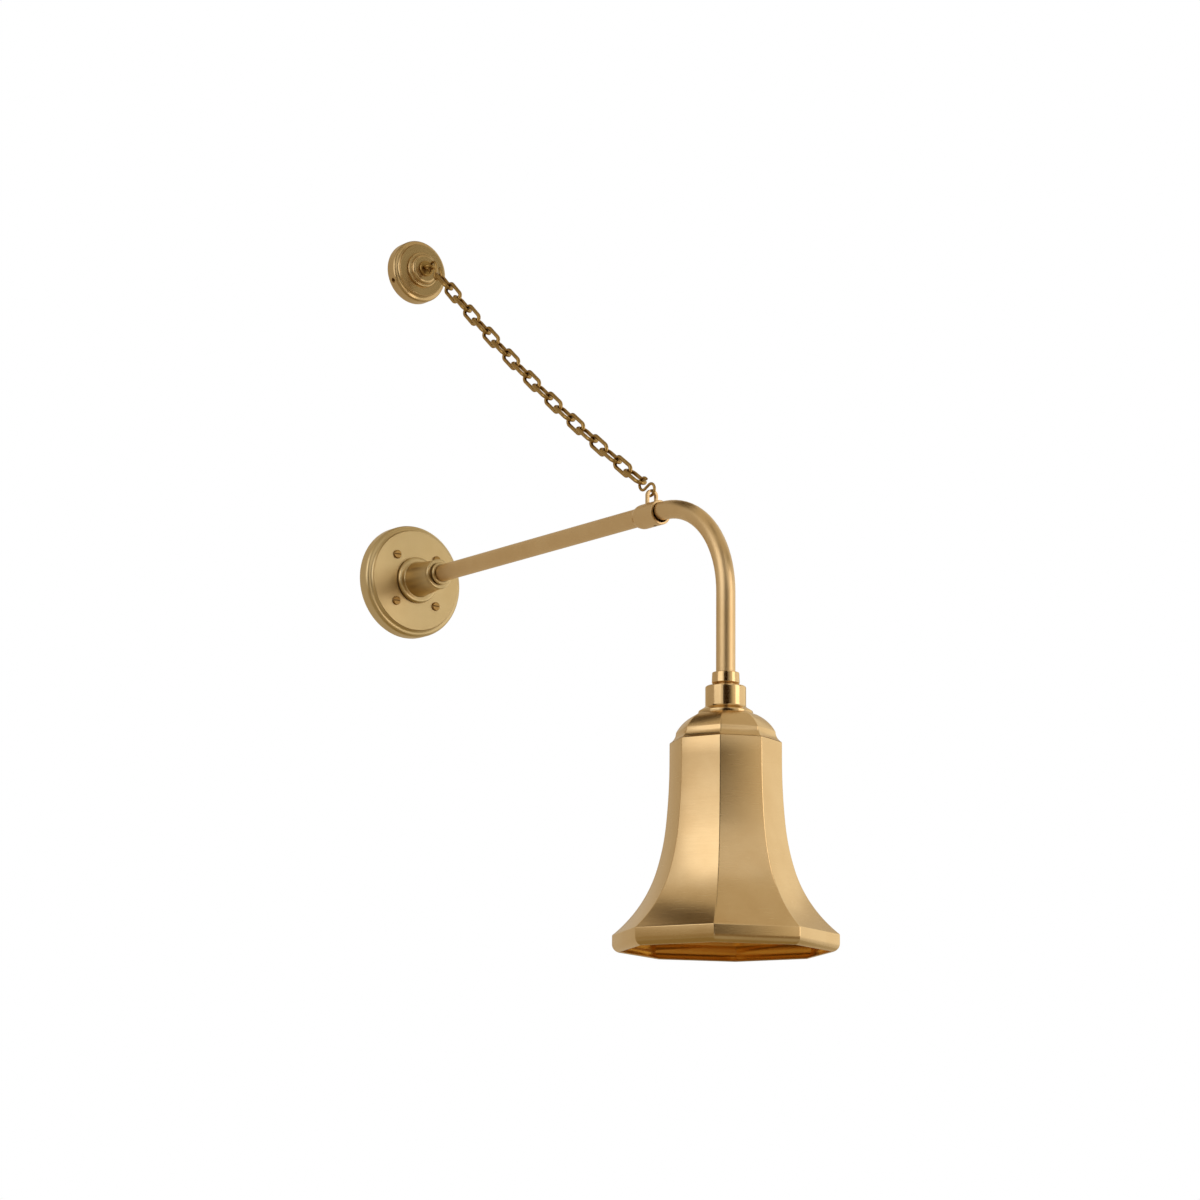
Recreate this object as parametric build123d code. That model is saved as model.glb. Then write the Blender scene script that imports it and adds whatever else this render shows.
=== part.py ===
from build123d import *

import math
import os

# Hanging pendant wall sconce: a round wall plate carries a tube arm that turns down
# to a lamp holder and an eight-sided bell shade.  A chain stay runs from a rosette
# higher on the wall, through an S-hook at each end, to a collar on the arm.
#
# Frame: millimetres, +Z up.  The origin is the centre of the lower wall plate on the
# wall plane, the arm runs out along -Y, and X runs along the wall.

# ---------------------------------------------------------------- driving dimensions

# Air left between pieces
gap = 0.3                    # between loose pieces that hang in one another
slip = 0.05                  # radial, between a shank or tube and its seat
screw_slack = 0.25           # radial, where a screw passes through without thread

# Arm tube
tube_radius = 9.5
tube_wall = 1.2
arm_reach = 566.0            # wall plane to the axis of the drop
bend_radius = 100.0          # to the tube's centreline
drop_end = -187.0            # height of the tube's lower end

# Wall plate, spun from sheet
sheet = 1.5
plate_radius = 63.5
plate_depth = 18.6
plate_side = 13.4            # height of the straight side, up to the moulded edge
plate_edge = 6.9             # width of the moulded edge
plate_cove = 3.4             # height of the cove under the face's edge
plate_cove_round = 3.6
plate_shoulder_round = 4.2

# Wall bracket and the four screws that hold the plate to it
bracket_radius = 52.0
bracket_thickness = 2.0
bracket_window = 18.0        # radius of the hole for the leads
box_hole_spacing = 88.9
box_hole_radius = 2.4
plate_screw_offset = 26.5    # each screw, across and up from the centre
screw_radius = 2.0
screw_head_radius = 4.9
screw_head_height = 2.4
screw_grip = 9.0             # thread inside the post
screw_slot_width = 1.4
screw_slot_depth = 1.3
post_radius = 4.5
earth_screw_offset = 33.0

# Arm socket, turned from bar
socket_foot_radius = 26.0
socket_foot_height = 5.6
socket_root_radius = 19.6
socket_neck_radius = 16.2
socket_lip_radius = 16.9
socket_lip_height = 4.2
socket_length = 46.4
socket_floor = 11.4          # solid metal behind the end of the tube
ferrule_radius = 12.6
ferrule_neck_radius = 11.2
ferrule_neck_length = 2.2
ferrule_bead_height = 3.2

# Hollow threaded nipples and their nut
nipple_radius = 6.5
nipple_bore = 4.9
nipple_tail = 8.0            # reaches this far behind the plate, and into the lamp holder
arm_nut_across = 22.0
arm_nut_height = 4.0
bush_radius = 8.2
bush_height = 4.5
bush_lip = 2.0

# Rosette for the chain
rosette_radius = 36.0
rosette_side = 12.6
rosette_edge = 6.0           # width of the moulded edge
rosette_depth = 17.5
rosette_cove = 3.2
rosette_cove_round = 3.4
rosette_shoulder_round = 3.4
boss_radius = 20.4
boss_step = 3.2
boss_step_round = 1.8
boss_top_radius = 17.0
boss_top_round = 3.2
boss_height = 7.0            # from the rosette's face to the boss's face
rosette_web = 2.0            # thickness behind the face
rosette_wall = 3.0           # thickness of the side
backing_slack = 0.6          # radial, from the rosette's side to its dished backing
backing_depth = 10.0
backing_rim = 3.0
backing_floor = 3.0
backing_hole_spacing = 40.0
backing_hole_radius = 2.3
grub_radius = 2.8
grub_recess = 1.3            # from the rosette's side to the screw's face
grub_depth = 7.0             # from the wall
grub_angle = 206.0           # degrees, seen from the room, and its opposite
grub_socket = 1.5            # radius of the key socket

# Eye bolt in the rosette
eye_ring_radius = 5.0        # to the ring's centreline
eye_wire_radius = 1.7
eye_shoulder_radius = 9.0
eye_shoulder_height = 2.8
eye_ring_stand = 7.5         # boss face to the ring's centre
eye_shank_radius = 3.0
eye_nut_across = 10.0
eye_nut_height = 5.0
eye_shank_tail = 1.0         # shank showing behind its nut

# Chain and S-hooks
link_count = 19
link_pitch = 25.72
link_wire_radius = 2.1
link_width = 11.8            # between the centrelines of a link's two sides
chain_turn = 0.45            # degrees that each link hangs flatter than the one above
first_twist = -13.0          # degrees of roll of the first link
last_twist = 3.0             # and of the last link
hook_wire_radius = 1.5
hook_loop_radius = 6.4       # to the wire's centreline
hook_loop_distance = 14.6    # between the centres of the two loops
hook_sweep = 258.0           # degrees of wire round each loop

# Collar that ties the chain to the arm
collar_radius = 12.7
collar_bore = 10.4
collar_drop = 0.8            # the loose collar hangs this far below the tube's axis
collar_length = 34.5
collar_nose = 5.0            # length of the rounded wall-side end
collar_nose_round = 14.0
collar_nose_lip = 0.5        # thickness of that end's rim
collar_from_bend = 4.0       # collar's end to the start of the bend
bail_from_end = 15.2         # bail's middle to the collar's bend-side end
bail_width = 13.8
bail_band = 2.6
bail_thickness = 3.6
bail_height = 24.4           # arm axis to the middle of the bail's crown
collar_screw_radius = 2.0
collar_screw_socket = 1.1
collar_screw_from_end = 9.0

# Coupler, holder and lamp socket under the arm
coupler_radius = 13.3
coupler_swell = 13.7
coupler_top = -180.8
coupler_foot = -192.5
coupler_neck_radius = 10.8
coupler_base = -194.5
holder_radius = 20.0
holder_sheet = 1.3
holder_foot = -214.5
gallery_radius = 26.8
gallery_flare = 5.1          # height of the flare
gallery_rim = 3.0            # height of the straight rim under it
lamp_body_radius = 17.4
lamp_body_foot = -258.0
lamp_body_bore = 14.0
lamp_body_floor = -214.0     # ceiling of the lamp cavity
lamp_lead_bore_end = -206.0
shell_radius = 13.6
shell_wall = 0.5
shell_foot = -256.0
shell_roof = 1.0             # thickness of its flanged roof
contact_radius = 4.0
contact_height = 2.2
contact_tongue = 1.6         # the two together fit inside the recess and the shell's roof
contact_recess = 3.0         # depth of the pocket in the ceiling of the lamp cavity
contact_slack = 1.0          # radial, round the contact in that pocket
ring_radius = 24.0
ring_height = 5.0
ring_ribs = 24
ring_rib_radius = 0.8

# Shade: sizes across its sides are measured from the axis to the middle of a side
shade_sides = 8
shade_sheet = 1.5
shade_hole_radius = 17.8
crown_flat = 27.8            # edge of the flat top that the gallery stands on
crown_side = 45.2            # where the dome turns upright
crown_height = 17.4
crown_belly = 0.62           # place of the dome's middle point along its width
crown_sag = 7.9              # and how far it has fallen there
cove_radius = 12.0
cove_sweep = 57.0            # degrees
side_half_width = 51.0
side_height = 18.0           # upright part under the shoulder
bell_upper_radius = 672.0    # three arcs, tangent to each other
bell_middle_radius = 242.0
bell_lower_radius = 129.0
bell_upper_lean = 5.4        # degrees from upright at each arc's lower end
bell_middle_lean = 16.0
bell_lower_lean = 49.2
lip_height = 8.6
lip_roll_radius = 8.5
lip_roll_sweep = 72.0        # degrees

# Lead through the arm
lead_radius = 2.7
lead_tail = 9.5              # wall plane to the lead's cut end

# ---------------------------------------------------------------- helpers


def outline(corners):
    """Closed face through (a, b, radius) corners, in order; radius 0 leaves a corner sharp."""
    points = [Vector(a, b) for a, b, _ in corners]
    arrivals = []
    leavings = []
    middles = []
    for index, (_, _, radius) in enumerate(corners):
        here = points[index]
        back = (points[index - 1] - here).normalized()
        ahead = (points[(index + 1) % len(points)] - here).normalized()
        if radius == 0:
            arrivals.append(here)
            leavings.append(here)
            middles.append(None)
            continue
        half = math.radians(back.get_angle(ahead)) / 2
        reach = radius / math.tan(half)
        inward = (back + ahead).normalized()
        centre = here + inward * (radius / math.sin(half))
        arrivals.append(here + back * reach)
        leavings.append(here + ahead * reach)
        middles.append(centre - inward * radius)
    edges = []
    for index, middle in enumerate(middles):
        if middle is not None:
            edges.append(Edge.make_three_point_arc(arrivals[index], middle, leavings[index]))
        following = arrivals[(index + 1) % len(points)]
        if (following - leavings[index]).length > 1e-6:
            edges.append(Edge.make_line(leavings[index], following))
    return Face(Wire(edges))


def turned_out(corners, height=0.0):
    """Revolve (radius, depth from the wall, round) corners about an axis square to the wall."""
    face = outline([(radius, -depth, corner) for radius, depth, corner in corners])
    return Pos(0, 0, height) * revolve(face, Axis.Y)


def turned_down(corners):
    """Revolve (radius, height, round) corners about the axis of the drop."""
    solid = revolve(Plane.XZ * outline(corners), Axis.Z)
    return Pos(0, -arm_reach, 0) * solid


def rod_out(radius, near, far, x=0.0, height=0.0):
    """Round bar square to the wall, between two depths."""
    start = Plane(origin=(x, -near, height), z_dir=(0, -1, 0))
    return extrude(start * Circle(radius), far - near)


def hex_out(across, near, far, height=0.0):
    """Hexagonal bar square to the wall, between two depths."""
    start = Plane(origin=(0, -near, height), z_dir=(0, -1, 0))
    return extrude(start * RegularPolygon(across / 2, 6, major_radius=False), far - near)


def polar(radius, degrees):
    """Point at an angle and distance from the origin of a sketch."""
    angle = math.radians(degrees)
    return Vector(radius * math.cos(angle), radius * math.sin(angle))


def save(shape, node):
    """Write one node's STEP file."""
    shape.label = node
    export_step(shape, f"parts/{node}.step")


# ---------------------------------------------------------------- wall plate and bracket

plate_back_of_face = plate_depth - sheet
plate_face_radius = plate_radius - plate_edge
plate_screw_places = [
    (side * plate_screw_offset, rise * plate_screw_offset)
    for side in (-1, 1)
    for rise in (-1, 1)
]


def make_wall_plate():
    """Spun plate: straight side, moulded edge, flat face with five holes, open at the back."""
    cove_foot = plate_depth - plate_cove
    plate = turned_out([
        (nipple_radius + screw_slack, plate_depth, 0),
        (plate_face_radius, plate_depth, 0.4),
        (plate_face_radius, cove_foot, plate_cove_round),
        (plate_radius, plate_side, plate_shoulder_round),
        (plate_radius, 0, 0),
        (plate_radius - sheet, 0, 0),
        (plate_radius - sheet, plate_side - sheet, plate_shoulder_round - sheet),
        (plate_face_radius - sheet, cove_foot - sheet, 0.5),
        (plate_face_radius - sheet, plate_back_of_face, 0),
        (nipple_radius + screw_slack, plate_back_of_face, 0),
    ])
    for x, z in plate_screw_places:
        hole_radius = screw_radius + screw_slack
        plate -= rod_out(hole_radius, plate_back_of_face - 1, plate_depth + 1, x, z)
    return plate


def make_wall_bracket():
    """Round steel plate against the wall, with a lead window, box holes and tapped holes."""
    bracket = rod_out(bracket_radius, 0, bracket_thickness)
    bracket -= rod_out(bracket_window, -1, bracket_thickness + 1)
    for rise in (-1, 1):
        z = rise * box_hole_spacing / 2
        bracket -= rod_out(box_hole_radius, -1, bracket_thickness + 1, 0, z)
    bracket -= rod_out(screw_radius + slip, -1, bracket_thickness + 1, earth_screw_offset, 0)
    return bracket


def make_bracket_posts():
    """Four tapped posts on the bracket, under the plate's face."""
    posts = []
    for x, z in plate_screw_places:
        post = rod_out(post_radius, bracket_thickness, plate_back_of_face, x, z)
        bore_end = plate_depth - sheet - screw_grip - 1
        post -= rod_out(screw_radius + slip, bore_end, plate_back_of_face + 1, x, z)
        posts.append(post)
    return Compound(posts)


def slotted_screw(x, z, face_depth, shank_length):
    """Round-headed slotted screw standing on a face square to the wall."""
    head = turned_out([
        (0, face_depth, 0),
        (screw_head_radius, face_depth, 0),
        (screw_head_radius, face_depth + screw_head_height, 1.2),
        (0, face_depth + screw_head_height, 0),
    ])
    slot_top = face_depth + screw_head_height
    slot = Box(3 * screw_head_radius, 2 * screw_slot_depth, screw_slot_width)
    head -= Pos(0, -slot_top, 0) * slot
    shank = rod_out(screw_radius, face_depth - shank_length, face_depth)
    return Pos(x, 0, z) * (head + shank)


def make_plate_screws():
    """Four screws through the face of the wall plate."""
    length = sheet + screw_grip
    return Compound([slotted_screw(x, z, plate_depth, length) for x, z in plate_screw_places])


def make_earth_screw():
    """Screw for the earth lead, in the wall bracket."""
    return slotted_screw(earth_screw_offset, 0, bracket_thickness, bracket_thickness)


# ---------------------------------------------------------------- arm

socket_face = plate_depth + socket_length
tube_start = plate_depth + socket_floor
nipple_start = plate_back_of_face - nipple_tail


def make_arm_socket():
    """Turned socket: half-round foot, tapered barrel and lip, bored for nipple and tube."""
    foot_top = plate_depth + socket_foot_height
    lip_start = socket_face - socket_lip_height
    return turned_out([
        (nipple_radius + slip, plate_depth, 0),
        (socket_foot_radius, plate_depth, socket_foot_height * 0.48),
        (socket_foot_radius, foot_top, socket_foot_height * 0.48),
        (socket_root_radius, foot_top, 1.0),
        (socket_neck_radius, lip_start, 0.3),
        (socket_lip_radius, lip_start, 0.3),
        (socket_lip_radius, socket_face, 1.5),
        (tube_radius + slip, socket_face, 0),
        (tube_radius + slip, tube_start, 0),
        (nipple_radius + slip, tube_start, 0),
    ])


def make_tube_ferrule():
    """Small beaded ring that closes the socket round the tube."""
    bead_start = socket_face + ferrule_neck_length
    bead_end = bead_start + ferrule_bead_height
    return turned_out([
        (tube_radius + slip, socket_face, 0),
        (ferrule_neck_radius, socket_face, 0),
        (ferrule_neck_radius, bead_start, 0.4),
        (ferrule_radius, bead_start, 0.6),
        (ferrule_radius, bead_end, 1.2),
        (tube_radius + slip, bead_end, 0),
    ])


def make_arm_nipple():
    """Hollow threaded nipple from inside the wall plate into the socket."""
    nipple = rod_out(nipple_radius, nipple_start, tube_start)
    return nipple - rod_out(nipple_bore, nipple_start - 1, tube_start + 1)


def make_arm_lock_nut():
    """Hexagon nut that draws the socket against the plate."""
    near = plate_back_of_face - arm_nut_height
    nut = hex_out(arm_nut_across, near, plate_back_of_face)
    return nut - rod_out(nipple_radius + slip, near - 1, plate_back_of_face + 1)


def make_lead_bush():
    """Insulating bush over the nipple's rear end, where the lead leaves it."""
    near = nipple_start - bush_lip
    seat_end = near + bush_height
    return turned_out([
        (lead_radius + screw_slack, near, 0.4),
        (bush_radius, near, 0.8),
        (bush_radius, seat_end, 0),
        (nipple_radius + slip, seat_end, 0),
        (nipple_radius + slip, nipple_start, 0),
        (lead_radius + screw_slack, nipple_start, 0),
    ])


def arm_path(start_depth, end_height):
    """Centreline: straight out, one bend, straight down."""
    bend_start = Vector(0, -(arm_reach - bend_radius), 0)
    bend_end = Vector(0, -arm_reach, -bend_radius)
    start = Vector(0, -start_depth, 0)
    out = Edge.make_line(start, bend_start)
    bend = Edge.make_tangent_arc(bend_start, Vector(0, -1, 0), bend_end)
    down = Edge.make_line(bend_end, Vector(0, -arm_reach, end_height))
    return Wire([out, bend, down])


def make_arm_tube():
    """Bent brass tube."""
    path = arm_path(tube_start, drop_end)
    section = Circle(tube_radius) - Circle(tube_radius - tube_wall)
    return sweep(Plane(origin=(0, -tube_start, 0), z_dir=(0, -1, 0)) * section, path)


def make_arm_lead():
    """Round two-core lead along the middle of the arm, down into the lamp holder."""
    path = arm_path(lead_tail, lamp_lead_bore_end)
    start = Plane(origin=(0, -lead_tail, 0), z_dir=(0, -1, 0))
    return sweep(start * Circle(lead_radius), path)


# ---------------------------------------------------------------- collar on the arm

collar_end = arm_reach - bend_radius - collar_from_bend
collar_start = collar_end - collar_length
bail_depth = collar_end - bail_from_end


def make_chain_collar():
    """Loose sleeve with a rounded nose and an upright bail for the chain's hook."""
    sleeve = turned_out([
        (0, collar_start, 0),
        (collar_bore + collar_nose_lip, collar_start, 0),
        (collar_radius, collar_start + collar_nose, collar_nose_round),
        (collar_radius, collar_end, 0.5),
        (0, collar_end, 0),
    ], -collar_drop)
    outer_radius = bail_width / 2
    inner_radius = outer_radius - bail_band
    crown_centre = bail_height + bail_band / 2 - outer_radius
    face = Plane(origin=(0, -bail_depth, crown_centre), x_dir=(1, 0, 0), z_dir=(0, -1, 0))
    leg = crown_centre + collar_drop
    blank = Circle(outer_radius) + Pos(0, -leg / 2) * Rectangle(bail_width, leg)
    window = Circle(inner_radius) + Pos(0, -leg / 2) * Rectangle(2 * inner_radius, leg)
    bail = extrude(face * (blank - window), bail_thickness / 2, both=True)
    collar = sleeve + bail
    collar -= rod_out(collar_bore, collar_start - 1, collar_end + 1, 0, -collar_drop)
    screw_depth = collar_end - collar_screw_from_end
    hole = Cylinder(collar_screw_radius + slip, collar_radius)
    collar -= Pos(0, -screw_depth, -collar_drop - collar_radius) * hole
    return collar


def make_collar_screw():
    """Grub screw from below that sets the collar on the tube."""
    tip = -tube_radius
    foot = -collar_drop - collar_radius + 0.4
    length = tip - foot
    screw_depth = collar_end - collar_screw_from_end
    screw = Cylinder(collar_screw_radius, length)
    key = Cylinder(collar_screw_socket, length, align=(Align.CENTER, Align.CENTER, Align.MAX))
    screw -= key
    return Pos(0, -screw_depth, (tip + foot) / 2) * screw


# ---------------------------------------------------------------- run of the chain

boss_face = rosette_depth + boss_height
eye_centre_depth = boss_face + eye_ring_stand
eye_bar_depth = eye_centre_depth + eye_ring_radius
bail_half_section = math.hypot(bail_thickness, bail_band) / 2
inner_loop = hook_loop_radius - hook_wire_radius
eye_seat = inner_loop - eye_wire_radius - gap
bail_seat = inner_loop - bail_half_section - gap
link_seat = inner_loop - gap / 2
run_lengths = (
    [eye_seat + hook_loop_distance + link_seat]
    + [link_pitch] * link_count
    + [link_seat + hook_loop_distance + bail_seat]
)


def run_angles(first_angle):
    """Fall of each piece of the run, in radians below level, from the eye to the bail."""
    turn = math.radians(chain_turn)
    return [first_angle - turn * index for index in range(len(run_lengths))]


def first_fall():
    """Fall of the first hook, found so that the run spans from the eye to the bail."""
    span = bail_depth - eye_bar_depth
    low = 0.0
    high = math.pi / 2
    for _ in range(60):
        middle = (low + high) / 2
        angles = run_angles(middle)
        reach = sum(length * math.cos(angle) for length, angle in zip(run_lengths, angles))
        if reach > span:
            low = middle
        else:
            high = middle
    return (low + high) / 2


falls = run_angles(first_fall())
run_rise = sum(length * math.sin(angle) for length, angle in zip(run_lengths, falls))
rosette_height = bail_height + run_rise

# Joints of the run, from the eye's bar to the bail's crown, as points in the plane x = 0
run_points = [Vector(0, -eye_bar_depth, rosette_height)]
for run_length, fall in zip(run_lengths, falls):
    forward = Vector(0, -math.cos(fall), -math.sin(fall))
    run_points.append(run_points[-1] + forward * run_length)


def make_link():
    """One welded oval link, long axis on X, flat in the XY plane, centred on the origin."""
    half_straight = (link_pitch + gap - link_width) / 2 + link_wire_radius
    end_circle = Plane.YZ * Pos(link_width / 2, 0) * Circle(link_wire_radius)
    end = Pos(half_straight, 0, 0) * revolve(end_circle, Axis.Z, -180)
    side = Plane(origin=(-half_straight, link_width / 2, 0), z_dir=(1, 0, 0))
    bar = extrude(side * Circle(link_wire_radius), 2 * half_straight)
    half = end + bar
    return half + half.rotate(Axis.Z, 180)


def place_link(link, index):
    """Put a link between its two joints, rolled by its share of the chain's twist."""
    start = run_points[index]
    finish = run_points[index + 1]
    along = (finish - start).normalized()
    share = (index - 1) / max(link_count - 1, 1)
    twist = first_twist + (last_twist - first_twist) * share
    roll = twist if index % 2 == 1 else twist + 90
    upward = Vector(1, 0, 0).cross(along) * -1
    across = Vector(1, 0, 0) * math.cos(math.radians(roll))
    across += upward * math.sin(math.radians(roll))
    middle = (start + finish) / 2
    return Plane(origin=middle, x_dir=along, z_dir=along.cross(across)) * link


def make_hook():
    """S-hook in the XY plane, its loop centres on the X axis, bent from round wire."""
    lean = math.degrees(math.acos(2 * hook_loop_radius / hook_loop_distance))
    centre = Vector(-hook_loop_distance / 2, 0)
    tangent = centre + polar(hook_loop_radius, -lean)
    middle = centre + polar(hook_loop_radius, -lean - hook_sweep / 2)
    tip = centre + polar(hook_loop_radius, -lean - hook_sweep)
    loop = Edge.make_three_point_arc(tip, middle, tangent)
    cross_bar = Edge.make_line(tangent, tangent * -1)
    other_loop = Edge.make_three_point_arc(tangent * -1, middle * -1, tip * -1)
    path = Wire([loop, cross_bar, other_loop])
    start = Plane(origin=tip, z_dir=loop % 0)
    return sweep(start * Circle(hook_wire_radius), path)


def place_hook(hook, index, seat, facing):
    """Put a hook on a joint of the run; seat is from the joint to its first loop's centre."""
    along = (run_points[index + 1] - run_points[index]).normalized()
    middle = run_points[index] + along * (seat + hook_loop_distance / 2)
    return Plane(origin=middle, x_dir=along, z_dir=(facing, 0, 0)) * hook


# ---------------------------------------------------------------- rosette and eye bolt


rosette_face_radius = rosette_radius - rosette_edge
backing_radius = rosette_radius - rosette_wall - backing_slack


def make_rosette():
    """Turned rosette: moulded edge, stepped boss, hollow behind, two side screw holes."""
    cove_foot = rosette_depth - rosette_cove
    back = rosette_depth - rosette_web
    inner_radius = rosette_radius - rosette_wall
    rosette = turned_out([
        (eye_shank_radius + slip, boss_face, 0),
        (boss_top_radius, boss_face, boss_top_round),
        (boss_top_radius, rosette_depth + boss_step, 0.4),
        (boss_radius, rosette_depth + boss_step, boss_step_round),
        (boss_radius, rosette_depth, 0),
        (rosette_face_radius, rosette_depth, 0.4),
        (rosette_face_radius, cove_foot, rosette_cove_round),
        (rosette_radius, rosette_side, rosette_shoulder_round),
        (rosette_radius, 0, 0),
        (inner_radius, 0, 0),
        (inner_radius, rosette_side - rosette_web, 1.2),
        (rosette_face_radius - rosette_wall, back, 0.5),
        (eye_shank_radius + slip, back, 0),
    ], rosette_height)
    hole = Cylinder(grub_radius + slip, rosette_radius, rotation=(0, 90, 0))
    for turn in (0, 180):
        rosette -= grub_frame(turn) * Pos(rosette_radius, 0, 0) * hole
    return rosette


def grub_frame(turn):
    """Frame at the rosette's axis, its X axis along one of the side screws."""
    centre = Pos(0, -grub_depth, rosette_height)
    return centre * Rot(0, -(grub_angle + turn), 0)


def make_grub_screws():
    """Two key screws through the rosette's side, biting on the backing's rim."""
    length = rosette_radius - grub_recess - backing_radius
    screw = Cylinder(grub_radius, length, rotation=(0, 90, 0))
    key = Cylinder(grub_socket, length, rotation=(0, 90, 0))
    screw -= Pos(length / 2, 0, 0) * key
    reach = backing_radius + length / 2
    return Compound([grub_frame(turn) * Pos(reach, 0, 0) * screw for turn in (0, 180)])


def make_rosette_backing():
    """Dished steel bracket that the rosette slides over."""
    dish_radius = backing_radius - backing_rim
    backing = turned_out([
        (0, 0, 0),
        (backing_radius, 0, 0),
        (backing_radius, backing_depth, 0.6),
        (dish_radius, backing_depth, 0),
        (dish_radius, backing_floor, 1.0),
        (0, backing_floor, 0),
    ], rosette_height)
    for side in (-1, 1):
        x = side * backing_hole_spacing / 2
        hole = rod_out(backing_hole_radius, -1, backing_floor + 1, x, rosette_height)
        backing -= hole
    return backing


def make_eye_bolt():
    """Eye bolt: shank through the boss, round shoulder, level ring for the hook."""
    tail = rosette_depth - rosette_web - eye_nut_height - eye_shank_tail
    shoulder_end = boss_face + eye_shoulder_height
    body = turned_out([
        (0, tail, 0),
        (eye_shank_radius, tail, 0.5),
        (eye_shank_radius, boss_face, 0),
        (eye_shoulder_radius, boss_face, 0),
        (eye_shoulder_radius, shoulder_end, 1.4),
        (0, shoulder_end, 0),
    ], rosette_height)
    ring = Torus(eye_ring_radius, eye_wire_radius)
    return body + Pos(0, -eye_centre_depth, rosette_height) * ring


def make_eye_nut():
    """Nut on the eye bolt, behind the rosette's web."""
    far = rosette_depth - rosette_web
    near = far - eye_nut_height
    nut = hex_out(eye_nut_across, near, far, rosette_height)
    return nut - rod_out(eye_shank_radius + slip, near - 1, far + 1, 0, rosette_height)


# ---------------------------------------------------------------- coupler and lamp holder

holder_roof = coupler_base - holder_sheet
nipple_top = drop_end - 1.0
nipple_foot = holder_roof - nipple_tail
shade_top = holder_foot - gallery_flare - gallery_rim
crown_under = shade_top - shade_sheet
contact_seat = lamp_body_floor + contact_recess


def make_drop_coupler():
    """Turned coupler on the tube's end, with a neck that stands on the holder."""
    return turned_down([
        (tube_radius + slip, coupler_top, 0),
        (coupler_radius, coupler_top, 0.9),
        (coupler_swell, coupler_foot + 1.4, 0.4),
        (coupler_swell - 1.2, coupler_foot, 0.2),
        (coupler_neck_radius, coupler_foot, 0.3),
        (coupler_neck_radius, coupler_base, 0),
        (nipple_radius + slip, coupler_base, 0),
        (nipple_radius + slip, drop_end, 0),
        (tube_radius + slip, drop_end, 0),
    ])


def make_holder_nipple():
    """Hollow threaded nipple from the coupler into the lamp holder."""
    return turned_down([
        (nipple_bore, nipple_top, 0),
        (nipple_radius, nipple_top, 0.4),
        (nipple_radius, nipple_foot, 0.4),
        (nipple_bore, nipple_foot, 0),
    ])


def make_holder_cup():
    """Spun cup over the lamp holder."""
    inner_radius = holder_radius - holder_sheet
    return turned_down([
        (nipple_radius + screw_slack, coupler_base, 0),
        (holder_radius, coupler_base, 1.8),
        (holder_radius, holder_foot, 0),
        (inner_radius, holder_foot, 0),
        (inner_radius, holder_roof, 0.6),
        (nipple_radius + screw_slack, holder_roof, 0),
    ])


def make_shade_gallery():
    """Spun flare between the cup and the crown of the shade."""
    flare_end = holder_foot - gallery_flare
    inner_radius = holder_radius - holder_sheet
    rim_inner = gallery_radius - holder_sheet
    return turned_down([
        (inner_radius, holder_foot, 0),
        (holder_radius, holder_foot, 0),
        (holder_radius + 0.9, holder_foot - 1.4, 3.0),
        (gallery_radius, flare_end, 1.6),
        (gallery_radius, shade_top, 0),
        (rim_inner, shade_top, 0),
        (rim_inner, flare_end - 0.7, 0.8),
        (inner_radius, holder_foot - 2.2, 2.0),
    ])


def make_lamp_body():
    """Moulded lamp holder: solid head with a lead bore, round skirt, open below."""
    return turned_down([
        (nipple_radius + slip, holder_roof, 0),
        (lamp_body_radius, holder_roof, 1.0),
        (lamp_body_radius, lamp_body_foot, 1.0),
        (lamp_body_bore, lamp_body_foot, 0),
        (lamp_body_bore, lamp_body_floor, 0),
        (contact_radius + contact_slack, lamp_body_floor, 0),
        (contact_radius + contact_slack, contact_seat, 0),
        (0, contact_seat, 0),
        (0, lamp_lead_bore_end, 0),
        (nipple_radius + slip, lamp_lead_bore_end, 0),
    ])


def make_screw_shell():
    """Brass shell that takes the lamp's cap, held by its flanged roof."""
    inner_radius = shell_radius - shell_wall
    window = contact_radius + contact_slack
    return turned_down([
        (window, lamp_body_floor, 0),
        (lamp_body_bore - slip, lamp_body_floor, 0),
        (lamp_body_bore - slip, lamp_body_floor - shell_roof, 0),
        (shell_radius, lamp_body_floor - shell_roof, 0),
        (shell_radius, shell_foot, 0),
        (inner_radius, shell_foot, 0),
        (inner_radius, lamp_body_floor - shell_roof, 0),
        (window, lamp_body_floor - shell_roof, 0),
    ])


def make_centre_contact():
    """Sprung centre contact in its pocket over the lamp cavity."""
    contact_foot = contact_seat - contact_height
    return turned_down([
        (0, contact_seat, 0),
        (contact_radius, contact_seat, 0),
        (contact_radius, contact_foot, 0.4),
        (contact_radius / 2, contact_foot, 0),
        (contact_radius / 2, contact_foot - contact_tongue, 0.6),
        (0, contact_foot - contact_tongue, 0),
    ])


def make_shade_ring():
    """Ribbed ring, screwed up the lamp holder to clamp the shade's crown."""
    ring = turned_down([
        (lamp_body_radius + slip, crown_under, 0),
        (ring_radius, crown_under, 0),
        (ring_radius, crown_under - ring_height, 0.8),
        (lamp_body_radius + slip, crown_under - ring_height, 0),
    ])
    rib = Cylinder(ring_rib_radius, 3 * ring_height)
    middle = Pos(0, -arm_reach, crown_under)
    for place in PolarLocations(ring_radius, ring_ribs):
        ring -= middle * place * rib
    return ring


# ---------------------------------------------------------------- shade

shoulder = shade_top - crown_height - cove_radius * math.sin(math.radians(cove_sweep))


bell_arcs = (
    (bell_upper_radius, bell_upper_lean),
    (bell_middle_radius, bell_middle_lean),
    (bell_lower_radius, bell_lower_lean),
)


def below_arc(centre, radius, lean):
    """Point of a bell arc where its tangent leans this many degrees from upright."""
    return centre - polar(radius, lean)


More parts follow.
